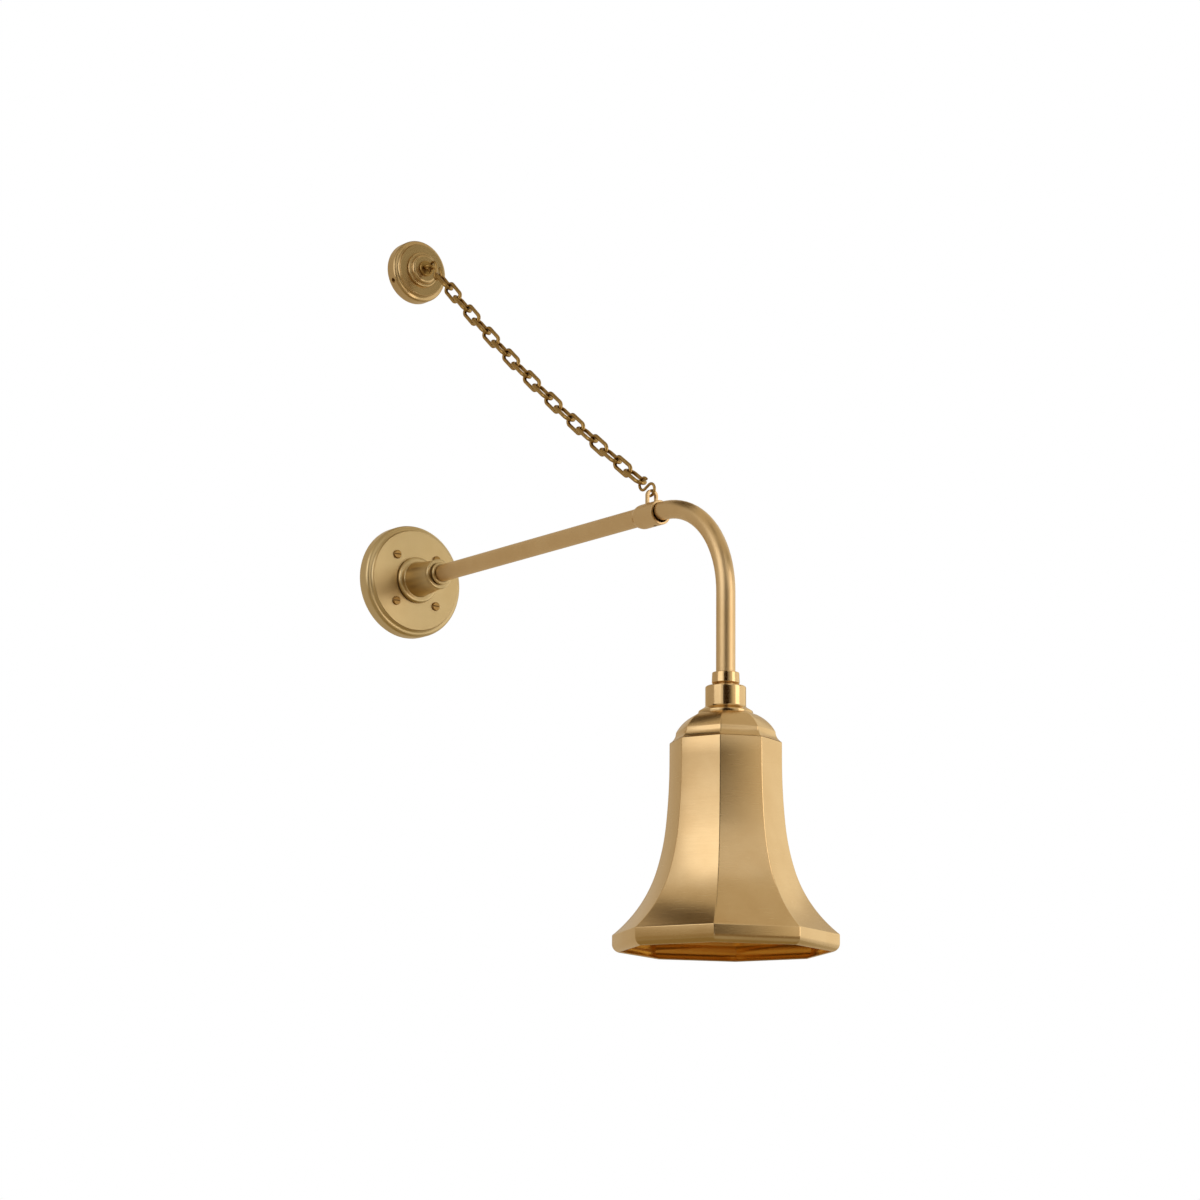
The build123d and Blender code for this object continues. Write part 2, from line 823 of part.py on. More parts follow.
def bell_centres():
    """Centres of the bell's tangent arcs, and the point where the last one ends."""
    start = Vector(side_half_width, shoulder - side_height)
    lean = 0.0
    centres = []
    for radius, next_lean in bell_arcs:
        centre = start + polar(radius, lean)
        centres.append(centre)
        start = below_arc(centre, radius, next_lean)
        lean = next_lean
    return centres, start


bell_arc_centres, bell_foot = bell_centres()
lip_half_width = bell_foot.X


def bell_edges(inset):
    """The bell's arcs moved inward by inset, and stopped at the inside of the lip."""
    edges = []
    lean = 0.0
    for centre, (radius, next_lean) in zip(bell_arc_centres, bell_arcs):
        reach = radius + inset
        if radius == bell_arcs[-1][0]:
            next_lean = math.degrees(math.acos((centre.X - lip_half_width + inset) / reach))
        edges.append(Edge.make_three_point_arc(
            below_arc(centre, reach, lean),
            below_arc(centre, reach, (lean + next_lean) / 2),
            below_arc(centre, reach, next_lean),
        ))
        lean = next_lean
    return edges


def shade_edge(inset):
    """Half outline of the shade in the plane across two opposite sides, as joined edges.

    inset 0 gives the outside and the sheet's thickness gives the inside.  The inside
    runs on past the mouth, so that it opens it.
    """
    flat = Vector(crown_flat - inset / 2, shade_top - inset)
    upright = Vector(crown_side - inset, shade_top - crown_height)
    belly = Vector(
        crown_flat + (crown_side - crown_flat) * crown_belly - inset * 0.7,
        shade_top - crown_sag - inset * 0.7,
    )
    bend = math.radians(cove_sweep)
    cove_centre = Vector(crown_side + cove_radius, shade_top - crown_height)
    cove_reach = cove_radius + inset
    cove_middle = cove_centre + Vector(-math.cos(bend / 2), -math.sin(bend / 2)) * cove_reach
    cove_end = cove_centre + Vector(-math.cos(bend), -math.sin(bend)) * cove_reach
    edge_top = Vector(side_half_width - inset, cove_end.Y)
    side_end = Vector(side_half_width - inset, shoulder - side_height)
    bell = bell_edges(inset)
    lip_end = Vector(lip_half_width - inset, bell_foot.Y - lip_height)
    roll_centre = Vector(lip_half_width - lip_roll_radius, lip_end.Y)
    roll_reach = lip_roll_radius - inset
    roll = math.radians(lip_roll_sweep)
    roll_middle = roll_centre + Vector(math.cos(roll / 2), -math.sin(roll / 2)) * roll_reach
    roll_end = roll_centre + Vector(math.cos(roll), -math.sin(roll)) * roll_reach
    edges = [
        Edge.make_three_point_arc(flat, belly, upright),
        Edge.make_three_point_arc(upright, cove_middle, cove_end),
        Edge.make_line(cove_end, edge_top),
        Edge.make_line(edge_top, side_end),
        *bell,
        Edge.make_line(bell[-1] @ 1, lip_end),
        Edge.make_three_point_arc(lip_end, roll_middle, roll_end),
    ]
    return edges, flat, roll_end


def shade_body(inset, run_on):
    """Eight-sided solid with the profile of shade_edge on every side."""
    edges, top, foot = shade_edge(inset)
    ending = Vector(foot.X, foot.Y - run_on)
    tail = [Edge.make_line(foot, ending)] if run_on else []
    closing = [
        Edge.make_line(ending, Vector(0, ending.Y)),
        Edge.make_line(Vector(0, ending.Y), Vector(0, top.Y)),
        Edge.make_line(Vector(0, top.Y), top),
    ]
    half = Face(Wire(edges + tail + closing))
    whole = Plane.XZ * (half + mirror(half, Plane.YZ))
    prism = extrude(whole, 1.5 * lip_half_width, both=True)
    step = 360 / shade_sides
    body = prism.rotate(Axis.Z, step / 2)
    for index in range(1, shade_sides // 2):
        body &= prism.rotate(Axis.Z, step / 2 + step * index)
    return body


def make_shade():
    """Eight-sided bell shade in sheet, with a domed crown, a shoulder and a rolled lip."""
    shade = shade_body(0, 0) - shade_body(shade_sheet, 5.0)
    hole = Cylinder(shade_hole_radius, 4 * shade_sheet)
    shade -= Pos(0, 0, shade_top) * hole
    return Pos(0, -arm_reach, 0) * shade


# ---------------------------------------------------------------- write the nodes

os.makedirs("parts", exist_ok=True)

save(make_wall_plate(), "wall_plate")
save(make_wall_bracket(), "wall_bracket")
save(make_bracket_posts(), "bracket_posts")
save(make_plate_screws(), "plate_screws")
save(make_earth_screw(), "earth_screw")
save(make_arm_socket(), "arm_socket")
save(make_tube_ferrule(), "tube_ferrule")
save(make_arm_nipple(), "arm_nipple")
save(make_arm_lock_nut(), "arm_lock_nut")
save(make_lead_bush(), "lead_bush")
save(make_arm_tube(), "arm_tube")
save(make_arm_lead(), "arm_lead")
save(make_chain_collar(), "chain_collar")
save(make_collar_screw(), "collar_screw")

save(make_rosette(), "rosette")
save(make_rosette_backing(), "rosette_backing")
save(make_grub_screws(), "rosette_grub_screws")
save(make_eye_bolt(), "eye_bolt")
save(make_eye_nut(), "eye_nut")

s_hook = make_hook()
save(place_hook(s_hook, 0, eye_seat, 1), "upper_hook")
save(place_hook(s_hook, link_count + 1, link_seat, -1), "lower_hook")

chain_link = make_link()
for number in range(1, link_count + 1):
    save(place_link(chain_link, number), f"chain_link_{number:02d}")

save(make_drop_coupler(), "drop_coupler")
save(make_holder_nipple(), "holder_nipple")
save(make_holder_cup(), "holder_cup")
save(make_shade_gallery(), "shade_gallery")
save(make_lamp_body(), "lamp_body")
save(make_screw_shell(), "screw_shell")
save(make_centre_contact(), "centre_contact")
save(make_shade_ring(), "shade_ring")
save(make_shade(), "shade")

print("rosette height", round(rosette_height, 2))
print("collar", round(collar_start, 2), "to", round(collar_end, 2))
print("chain sway axis from", run_points[0], "to", run_points[-1])
print("fall of first and last piece", [round(math.degrees(falls[i]), 2) for i in (0, -1)])
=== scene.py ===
# %% [markdown]
# # A brass wall light with a chain stay
#
# The light hangs on a wall: a round plate, a tube arm that turns down, and an eight-sided
# bell shade.  A chain runs from a rosette higher up to a collar on the arm.  All of it is
# satin brass, so nearly everything the eye reads is a reflection.  That makes two things
# matter most: which way each piece was brushed, and what the studio shows it.
#
# The measured model comes first, and nothing in this script moves it.

import math

import bmesh
import bpy
from mathutils import Matrix, Vector


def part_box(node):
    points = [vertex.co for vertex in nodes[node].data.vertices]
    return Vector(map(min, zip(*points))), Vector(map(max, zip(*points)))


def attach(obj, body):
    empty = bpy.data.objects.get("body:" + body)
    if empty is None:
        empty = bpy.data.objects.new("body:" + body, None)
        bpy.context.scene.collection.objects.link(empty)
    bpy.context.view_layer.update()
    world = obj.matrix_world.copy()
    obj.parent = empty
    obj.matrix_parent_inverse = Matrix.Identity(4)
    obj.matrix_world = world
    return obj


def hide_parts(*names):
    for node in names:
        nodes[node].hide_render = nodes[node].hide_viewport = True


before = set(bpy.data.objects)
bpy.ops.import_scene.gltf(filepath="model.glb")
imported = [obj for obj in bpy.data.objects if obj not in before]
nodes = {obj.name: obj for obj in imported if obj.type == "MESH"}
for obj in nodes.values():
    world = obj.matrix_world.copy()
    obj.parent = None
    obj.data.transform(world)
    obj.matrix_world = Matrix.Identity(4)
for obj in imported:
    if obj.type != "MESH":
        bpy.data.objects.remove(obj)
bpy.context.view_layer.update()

# %% [markdown]
# Sizes are written in millimetres, as on a drawing, and one factor turns them into
# Blender's metres.  Two sizes of the arm place most of what follows, and heights are read
# from the measured pieces.

# %% Driving sizes
MM = 0.001
ARM_REACH = 566.0 * MM       # wall to the axis of the shade
BEND_RADIUS = 100.0 * MM     # of the arm's bend, to the middle of the tube
print("the shade hangs", round(ARM_REACH, 3), "m from the wall")

# %% [markdown]
# The camera stands where the photographer's did: low, to the left of the arm, with a long
# lens.  Rotating an empty and parenting the camera to it would do as well.  Here its three
# axes are worked out and written into its matrix, because a photograph is rarely quite
# level, and a small roll is easy to give this way.

# %% Camera
SENSOR_WIDTH = 36.0
LENS = 96.26                 # millimetres, on that sensor
CAMERA_PLACE = (-1964.89 * MM, -2958.01 * MM, -738.38 * MM)
CAMERA_TURN = math.radians(-37.11)
CAMERA_RISE = math.radians(-11.497)
CAMERA_ROLL = math.radians(0.521)

camera_data = bpy.data.cameras.new("photo_camera")
camera_data.sensor_width = SENSOR_WIDTH
camera_data.lens = LENS
camera_data.clip_start = 0.1
camera_data.clip_end = 60.0
camera = bpy.data.objects.new("photo_camera", camera_data)
bpy.context.scene.collection.objects.link(camera)
bpy.context.scene.camera = camera
bpy.context.scene.view_settings.view_transform = "Standard"

back = Vector((math.sin(CAMERA_TURN) * math.cos(CAMERA_RISE),
               -math.cos(CAMERA_TURN) * math.cos(CAMERA_RISE),
               math.sin(CAMERA_RISE)))
level = Vector((math.cos(CAMERA_TURN), math.sin(CAMERA_TURN), 0))
upward = back.cross(level)
right = level * math.cos(CAMERA_ROLL) + upward * math.sin(CAMERA_ROLL)
up = upward * math.cos(CAMERA_ROLL) - level * math.sin(CAMERA_ROLL)
camera.matrix_world = Matrix((
    (right.x, up.x, back.x, CAMERA_PLACE[0]),
    (right.y, up.y, back.y, CAMERA_PLACE[1]),
    (right.z, up.z, back.z, CAMERA_PLACE[2]),
    (0, 0, 0, 1),
))
print("camera stands", round(camera.matrix_world.translation.length, 3), "m from the plate")

# %% [markdown]
# Every material below is a small network of nodes.  Colours are written as sRGB hex, the
# way a paint chart gives them, and one function turns them into the linear values that
# light is reckoned in.  A second function adds one node with its settings and its links,
# so that each material reads as a list of what it is made of.

# %% Helpers for colours and nodes


def linear(hex_colour):
    """Turn an sRGB hex colour into the linear values that a shader wants."""
    parts = [int(hex_colour[i:i + 2], 16) / 255 for i in (1, 3, 5)]
    return tuple(c / 12.92 if c <= 0.04045 else ((c + 0.055) / 1.055) ** 2.4 for c in parts) + (1,)


def add_node(tree, kind, values=None, links=None, **settings):
    """Add a node, set its options and sockets, and link other nodes' outputs into it."""
    node = tree.nodes.new(kind)
    for name, value in settings.items():
        setattr(node, name, value)
    for socket, value in (values or {}).items():
        node.inputs[socket].default_value = value
    for socket, source in (links or {}).items():
        tree.links.new(source, node.inputs[socket])
    return node


def new_material(name):
    """An empty node material."""
    material = bpy.data.materials.new(name)
    material.use_nodes = True
    material.node_tree.nodes.clear()
    return material, material.node_tree


print("middle grey #808080 in linear values", round(linear("#808080")[0], 3))

# %% [markdown]
# A product photographer hangs white paper all round, a cove, so that the background burns
# out to plain white.  The world does that here.  Rays that the camera sees, straight or in
# the metal, meet full white; rays that only carry light into the scene meet a slightly
# weaker fill, which keeps the floor's shadow.

# %% World: a white cove
FILL = 0.95
WHITE = 1.0

world = bpy.data.worlds.new("white_cove")
bpy.context.scene.world = world
world.use_nodes = True
tree = world.node_tree
tree.nodes.clear()
path = add_node(tree, "ShaderNodeLightPath")
seen = add_node(tree, "ShaderNodeMath", operation="MAXIMUM",
                links={0: path.outputs["Is Camera Ray"], 1: path.outputs["Is Glossy Ray"]})
seen = add_node(tree, "ShaderNodeMath", operation="MAXIMUM",
                links={0: seen.outputs[0], 1: path.outputs["Is Transmission Ray"]})
fill = add_node(tree, "ShaderNodeBackground", {"Color": (1, 1, 1, 1), "Strength": FILL})
white = add_node(tree, "ShaderNodeBackground", {"Color": (1, 1, 1, 1), "Strength": WHITE})
mixed = add_node(tree, "ShaderNodeMixShader",
                 links={0: seen.outputs[0], 1: fill.outputs[0], 2: white.outputs[0]})
add_node(tree, "ShaderNodeOutputWorld", links={"Surface": mixed.outputs[0]})
print("world fill", FILL, "white", WHITE)

# %% [markdown]
# Metal in a white cove looks like chalk: it needs something dark to mirror.  So the studio
# has cards, as a photographer's has.  A card glows evenly at its own tone, and only
# reflections see it: it is hidden from the camera, lights nothing and casts no shadow.
# Area lights could do this, but a plain sheet keeps tone and size apart, which makes each
# stripe on the metal easy to place.

# %% Helper for studio cards


def flat_sheet(name, size, place, facing):
    """A rectangle at a place, facing a point."""
    mesh = bpy.data.meshes.new(name)
    bm = bmesh.new()
    bmesh.ops.create_grid(bm, x_segments=1, y_segments=1, size=0.5)
    bmesh.ops.scale(bm, vec=(*size, 1), verts=bm.verts)
    aim = (Vector(facing) - Vector(place)).to_track_quat("Z", "Y").to_matrix().to_4x4()
    bmesh.ops.transform(bm, matrix=Matrix.Translation(place) @ aim, verts=bm.verts)
    bm.to_mesh(mesh)
    bm.free()
    sheet = bpy.data.objects.new(name, mesh)
    bpy.context.scene.collection.objects.link(sheet)
    return sheet


def card(name, size, place, facing, tone, fade=None):
    """A studio card that only reflections see.

    fade is (from x, to x, tone): from left to right the card turns to that tone.
    """
    sheet = flat_sheet(name, size, place, facing)
    material, tree = new_material(name)
    glow = add_node(tree, "ShaderNodeEmission", {"Color": (*tone, 1), "Strength": 1.0})
    if fade:
        start, stop, end_tone = fade
        coords = add_node(tree, "ShaderNodeTexCoord")
        apart = add_node(tree, "ShaderNodeSeparateXYZ", links={0: coords.outputs["Object"]})
        along = add_node(tree, "ShaderNodeMapRange", {"From Min": start, "From Max": stop},
                         {"Value": apart.outputs["X"]})
        mix = add_node(tree, "ShaderNodeMix", {"A": (*tone, 1), "B": (*end_tone, 1)},
                       {"Factor": along.outputs[0]}, data_type="RGBA")
        tree.links.new(mix.outputs["Result"], glow.inputs["Color"])
    add_node(tree, "ShaderNodeOutputMaterial", links={"Surface": glow.outputs[0]})
    sheet.data.materials.append(material)
    sheet.visible_camera = False
    sheet.visible_diffuse = False
    sheet.visible_shadow = False
    print(name, size[0], "x", size[1], "m")
    return sheet


# %% [markdown]
# The dark cards come first.  The one behind the camera and the two higher up give the cup,
# the coupler and the shade their dark stripes.  The front card starts dark on the left and
# turns pale on the right, which gives the shade's front face its slow change of tone.
# Dark tones are a warm brown, not grey, because black card beside brass soon looks green.

# %% Dark cards
WARM_DARK = (0.03, 0.015, 0.002)
WARM_BLACK = (0.06, 0.035, 0.005)
CREAM = (0.95, 0.88, 0.72)
SHADE_MIDDLE = Vector((0, -ARM_REACH, -0.3))
OVER_SHADE = SHADE_MIDDLE + Vector((0, 0, 0.4))

card("card_camera", size=(2.6, 2.4), place=(-2.53, -3.92, 0.45), facing=OVER_SHADE,
     tone=WARM_DARK)
card("card_column", size=(1.0, 1.8), place=(-1.28, -2.26, 1.75), facing=SHADE_MIDDLE,
     tone=WARM_DARK)
card("card_zenith", size=(0.7, 0.7), place=(-0.4, -1.1, 2.25), facing=(-0.4, -1.1, 0),
     tone=WARM_DARK)
card("card_front", size=(2.4, 2.3), place=(-0.05, -4.1, -0.33), facing=(-0.05, 0, -0.33),
     tone=WARM_BLACK, fade=(-1.0, 0.4, CREAM))

# %% [markdown]
# Middle tones stand where the room would: the wall behind the light, the ceiling, and the
# wall on the right.  They keep white out of the plate, the tube's top and the shade's side
# faces.  The wall's upper part is nearly black, so that whatever looks up and back stays
# deep in tone.  One narrow bright strip gives the turned cup and coupler their highlight.

# %% Wall, ceiling and strip
card("card_wall", size=(6.0, 3.4), place=(0, 0.35, -0.7), facing=(0, -4, -0.7),
     tone=(0.64, 0.59, 0.52))
card("card_wall_high", size=(1.7, 1.6), place=(0, 0.34, 1.78), facing=(0, -4, 1.78),
     tone=(0.06, 0.035, 0.01))
card("card_overhead", size=(4.0, 4.0), place=(0, -0.8, 2.3), facing=(0, -0.8, 0),
     tone=(0.74, 0.68, 0.56))
card("card_right_high", size=(2.8, 2.0), place=(1.75, -2.55, 1.6), facing=(0, 0, 0.3),
     tone=(0.44, 0.42, 0.33))
card("card_strip", size=(0.4, 0.9), place=(0.43, -1.3, -0.05), facing=(0, -0.57, -0.15),
     tone=(2.6, 2.5, 2.5))

# %% [markdown]
# Below the light, low skirts and two level cards darken what the flare of the shade and
# the underside of the tube see.  The floor itself stays pale.

# %% Skirts and low cards
card("skirt_left", size=(3.0, 1.6), place=(-1.65, -0.7, -0.95), facing=(0, -0.7, -0.95),
     tone=(0.42, 0.34, 0.2))
card("skirt_front", size=(2.4, 1.2), place=(0, -2.6, -1.3), facing=(0, 0, -0.6),
     tone=(0.28, 0.2, 0.1))
card("card_under", size=(1.8, 1.2), place=(0, -0.3, -1.2), facing=(0, -0.3, 0),
     tone=(0.36, 0.28, 0.13))
card("card_low", size=(6.0, 3.6), place=(0, -1.45, -1.65), facing=(0, -1.45, 0),
     tone=(0.5, 0.46, 0.36))

# %% [markdown]
# The floor is far below a wall light, so the picture from the front shows none of it.
# From other sides it shows, as matt painted board.  Paint like that looks even, with only
# a faint cloudiness, so a noise mixes two nearly equal tones.

# %% Floor
FLOOR_SIZE = 14.0
FLOOR_LEVEL = -1.75
FLOOR_CLOUDS = 6.0           # cloudy patches to a metre

floor = flat_sheet("studio_floor", size=(FLOOR_SIZE, FLOOR_SIZE),
                   place=(0, -0.5, FLOOR_LEVEL), facing=(0, -0.5, 10))
material, tree = new_material("pale_floor")
coords = add_node(tree, "ShaderNodeTexCoord")
speck = add_node(tree, "ShaderNodeTexNoise", {"Scale": FLOOR_CLOUDS, "Detail": 4.0},
                 {"Vector": coords.outputs["Object"]})
tone = add_node(tree, "ShaderNodeMix", {"A": linear("#ECEAE6"), "B": linear("#F4F3F0")},
                {"Factor": speck.outputs["Fac"]}, data_type="RGBA")
paint = add_node(tree, "ShaderNodeBsdfPrincipled", {"Roughness": 0.7},
                 {"Base Color": tone.outputs["Result"]})
add_node(tree, "ShaderNodeOutputMaterial", links={"Surface": paint.outputs[0]})
floor.data.materials.append(material)
print("floor", -FLOOR_LEVEL, "m under the arm")

# %% [markdown]
# Two softboxes light the metal, a strong cool one on the left and a weak one on the right.
# Each is a rectangle of lit cloth, which is what an area light is.  What counts in a
# reflection is how bright the cloth looks, so that is the number given here, and the
# power in watts follows from the cloth's area.

# %% Softboxes


def softbox(name, size, place, facing, glow, tint=(1, 1, 1)):
    """A rectangular soft light aimed at a point.  glow is how bright its face looks."""
    data = bpy.data.lights.new(name, "AREA")
    data.shape = "RECTANGLE"
    data.size, data.size_y = size
    data.energy = glow * math.pi * size[0] * size[1]
    data.color = tint
    light = bpy.data.objects.new(name, data)
    light.location = place
    light.rotation_mode = "QUATERNION"
    light.rotation_quaternion = (Vector(facing) - Vector(place)).to_track_quat("-Z", "Y")
    bpy.context.scene.collection.objects.link(light)
    print(name, "glows", glow, "with", round(data.energy, 2), "W")


softbox("box_left", size=(1.2, 1.2), place=(-1.6, -0.68, 0.68), facing=(0, -0.68, 0.68),
        glow=0.9, tint=(0.95, 1.0, 1.16))
softbox("box_right", size=(1.6, 0.95), place=(1.3, -0.98, -0.05), facing=(0, -0.98, -0.05),
        glow=0.25)

# %% [markdown]
# Brass is brushed with a belt or a wheel, which leaves fine parallel scratches.  They
# spread a reflection across the lines and leave it sharp along them, which is what
# anisotropy does.  The lines could be drawn as a picture, but a stretched noise gives them
# without one.  It feeds the tone, the roughness and a shallow bump.  A second, broad noise
# gives the faint cloudiness of lacquered metal, and the lacquer is a thin clear coat.
# Where two pieces meet, and in slots and corners, shade is painted into the colour:
# ambient occlusion finds those places.

# %% Helper for brass
NOISE_LOW = 0.3              # a noise seldom leaves the range between these two
NOISE_HIGH = 0.7
PATCH_START = 0.35           # cloudy patches begin where their noise passes this
PATCH_TONE = 0.35            # most that a patch turns the colour to the dark tone
LINE_TONE = 0.06             # most that a brush line does
LINE_SMOOTHER = 0.02         # how far a line's roughness falls and rises
LINE_ROUGHER = 0.025
LINE_DEPTH = 0.02 * MM       # height of the drawn scratches
JOINT_SHADE = "#3A2608"       # painted shade in a joint, a slot or a corner
JOINT_SHUT = 0.25            # open air at which the painted shade is full
JOINT_OPEN = 0.85            # and at which no shade is painted
LACQUER_GLOSS = 0.12         # roughness of the clear coat
QUARTER_TURN = 0.25          # the lines spread light across themselves
WARM_GLINT = (1.0, 0.92, 0.74, 1)    # at a flat angle brass still mirrors yellow


def brass(name, light_tone, dark_tone, roughness, brushing, coat=0.15, spread=0.6,
          patches=28.0, depth=0.4, joints=0.0):
    """Satin brass.

    brushing is (streaks, tangent), two functions that add nodes: streaks stretches the
    noise into brush lines, and tangent gives the way they run.  coat is the lacquer, spread
    how much the lines pull a reflection apart, patches the cloudy patches to a metre, depth
    how strong the lines' bump is, and joints how far, in metres, shade is
    painted into a joint, a slot or a corner.
    """
    streaks, tangent = brushing
    material, tree = new_material(name)
    coords = add_node(tree, "ShaderNodeTexCoord").outputs["Object"]
    along = streaks(tree, coords)
    lines = add_node(tree, "ShaderNodeTexNoise",
                     {"Scale": 1.0, "Detail": 3.0, "Roughness": 0.6}, {"Vector": along})
    cloud = add_node(tree, "ShaderNodeTexNoise",
                     {"Scale": patches, "Detail": 3.0, "Roughness": 0.55}, {"Vector": coords})
    patch = add_node(tree, "ShaderNodeMapRange",
                     {"From Min": PATCH_START, "From Max": NOISE_HIGH,
                      "To Min": 0.0, "To Max": PATCH_TONE},
                     {"Value": cloud.outputs["Fac"]})
    line_tone = add_node(tree, "ShaderNodeMapRange",
                         {"From Min": NOISE_LOW, "From Max": NOISE_HIGH,
                          "To Min": 0.0, "To Max": LINE_TONE},
                         {"Value": lines.outputs["Fac"]})
    both = add_node(tree, "ShaderNodeMath", operation="ADD",
                    links={0: patch.outputs[0], 1: line_tone.outputs[0]})
    colour = add_node(tree, "ShaderNodeMix", {"A": linear(light_tone), "B": linear(dark_tone)},
                      {"Factor": both.outputs[0]}, data_type="RGBA")
    # Painted shade: the colour turns to a dark brown where little open air is near a point.
    if joints:
        open_air = add_node(tree, "ShaderNodeAmbientOcclusion", {"Distance": joints}, samples=8)
        unshaded = add_node(tree, "ShaderNodeMapRange",
                         {"From Min": JOINT_SHUT, "From Max": JOINT_OPEN},
                         {"Value": open_air.outputs["AO"]})
        colour = add_node(tree, "ShaderNodeMix", {"A": linear(JOINT_SHADE)},
                          {"Factor": unshaded.outputs[0], "B": colour.outputs["Result"]},
                          data_type="RGBA")
    rough = add_node(tree, "ShaderNodeMapRange",
                     {"From Min": NOISE_LOW, "From Max": NOISE_HIGH,
                      "To Min": roughness - LINE_SMOOTHER, "To Max": roughness + LINE_ROUGHER},
                     {"Value": lines.outputs["Fac"]})
    bump = add_node(tree, "ShaderNodeBump", {"Strength": depth, "Distance": LINE_DEPTH},
                    {"Height": lines.outputs["Fac"]})
    values = {"Metallic": 1.0, "Coat Weight": coat, "Coat Roughness": LACQUER_GLOSS,
              "Anisotropic": spread, "Anisotropic Rotation": QUARTER_TURN,
              "Specular Tint": WARM_GLINT}
    links = {"Base Color": colour.outputs["Result"], "Roughness": rough.outputs[0],
             "Normal": bump.outputs[0]}
    if tangent:
        links["Tangent"] = tangent(tree, coords)
    surface = add_node(tree, "ShaderNodeBsdfPrincipled", values, links)
    add_node(tree, "ShaderNodeOutputMaterial", links={"Surface": surface.outputs[0]})
    print("brass finish", name, "roughness", roughness)
    return material


# %% [markdown]
# A turned or spun piece is brushed while it spins in the lathe, so its lines are rings
# round its axis.  To draw them, each point is measured from the axis: its distance out and
# its height along give the place in the noise, and the rings come by themselves.  The
# tangent is the cross product of the axis and the way out.

# %% Rings on turned pieces
LINE_SPACING = 0.5 * MM      # real belt lines are under 0.1 mm; these are as coarse as shows
RING_WANDER = 25.0           # to a metre: a ring fades in and out over about 40 mm


def rings_about(centre, axis):
    """Streaks and tangent for a piece turned about an axis through a centre."""
    other = Vector((1, 1, 1)) - Vector(axis)

    def streaks(tree, coords):
        offset = add_node(tree, "ShaderNodeVectorMath", {1: centre}, {0: coords},
                          operation="SUBTRACT")
        across = add_node(tree, "ShaderNodeVectorMath", {1: other}, {0: offset.outputs[0]},
                          operation="MULTIPLY")
        radius = add_node(tree, "ShaderNodeVectorMath", links={0: across.outputs[0]},
                          operation="LENGTH")
        height = add_node(tree, "ShaderNodeVectorMath", {1: axis}, {0: offset.outputs[0]},
                          operation="DOT_PRODUCT")
        place = add_node(tree, "ShaderNodeCombineXYZ",
                         links={"X": radius.outputs["Value"], "Y": height.outputs["Value"]})
        fine = add_node(tree, "ShaderNodeVectorMath", {1: (1 / LINE_SPACING,) * 3},
                        {0: place.outputs[0]}, operation="MULTIPLY")
        loose = add_node(tree, "ShaderNodeVectorMath", {1: (RING_WANDER,) * 3}, {0: coords},
                         operation="MULTIPLY")
        return add_node(tree, "ShaderNodeVectorMath",
                        links={0: fine.outputs[0], 1: loose.outputs[0]},
                        operation="ADD").outputs[0]

    def tangent(tree, coords):
        offset = add_node(tree, "ShaderNodeVectorMath", {1: centre}, {0: coords},
                          operation="SUBTRACT")
        cross = add_node(tree, "ShaderNodeVectorMath", {0: axis}, {1: offset.outputs[0]},
                         operation="CROSS_PRODUCT")
        return add_node(tree, "ShaderNodeVectorMath", links={0: cross.outputs[0]},
                        operation="NORMALIZE").outputs[0]

    return streaks, tangent


OUT_OF_WALL = (0, 1, 0)
UPRIGHT = (0, 0, 1)
rosette_low, rosette_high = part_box("rosette")
rosette_centre = (rosette_low + rosette_high) / 2
plate_rings = rings_about((0, 0, 0), OUT_OF_WALL)
rosette_rings = rings_about((0, 0, rosette_centre.z), OUT_OF_WALL)
drop_rings = rings_about((0, -ARM_REACH, 0), UPRIGHT)
print("brush lines every", LINE_SPACING / MM, "mm, rosette", round(rosette_centre.z, 4), "m up")

# %% [markdown]
# The plate and the rosette are spun from sheet and brushed on the lathe.  The eye gets a
# broad, soft cone of light that turns with the rings, and the moulded edge reads as a few
# quiet lines.  Rougher than polish, and with little bump, because those lines would
# otherwise outshine the mouldings.

# %% Plate and rosette
WALL_LIGHT = "#C6AC7B"       # a slightly greyer brass, for the plate and the socket
WALL_DARK = "#B39662"

finishes = {}

# Spun plate: a soft even sheen, a little greyer than the arm.
finishes["plate"] = brass("spun_brass_plate", WALL_LIGHT, WALL_DARK, roughness=0.34,
                          brushing=plate_rings, spread=0.4, depth=0.06)

# Spun rosette: the same brass and sheen as the plate, a little smoother; its colours are a
# tone deeper, a painted shade.
finishes["rosette"] = brass("spun_brass_rosette_shade_painted", "#BE9F6D", "#A98954", roughness=0.27,
                            brushing=rosette_rings, spread=0.4, depth=0.06)

# %% [markdown]
# The coupler, the cup and the flare above the shade are turned from bar and polished.  A
# polished round bar shows the whole studio squeezed into upright stripes, so these finishes
# are smooth, without lacquer or brush lines, and the cards do the rest.  The socket at the
# plate was only brushed.

# %% Turned pieces
BRASS_LIGHT = "#CDAD7C"      # clean yellow brass, for the pieces under and along the arm
BRASS_DARK = "#BB9661"

# Polished coupler and cup: sharp stripes, nearly white beside nearly brown.
finishes["drop"] = brass("turned_brass_polished", BRASS_LIGHT, BRASS_DARK, roughness=0.16,
                         brushing=drop_rings, coat=0.0, spread=0.0, depth=0.01)

# The same polish on the flare and the shade's ring, with shade painted in where they tuck
# under the cup.
finishes["gallery"] = brass("turned_brass_gallery", BRASS_LIGHT, BRASS_DARK, roughness=0.16,
                            brushing=drop_rings, coat=0.0, spread=0.0, depth=0.01,
                            joints=6.0 * MM)

# Brushed socket: a soft sheen across its steps, with shade painted into the grooves.
finishes["socket"] = brass("turned_brass_socket", WALL_LIGHT, WALL_DARK, roughness=0.3,
                           brushing=plate_rings, depth=0.06, joints=2.5 * MM)

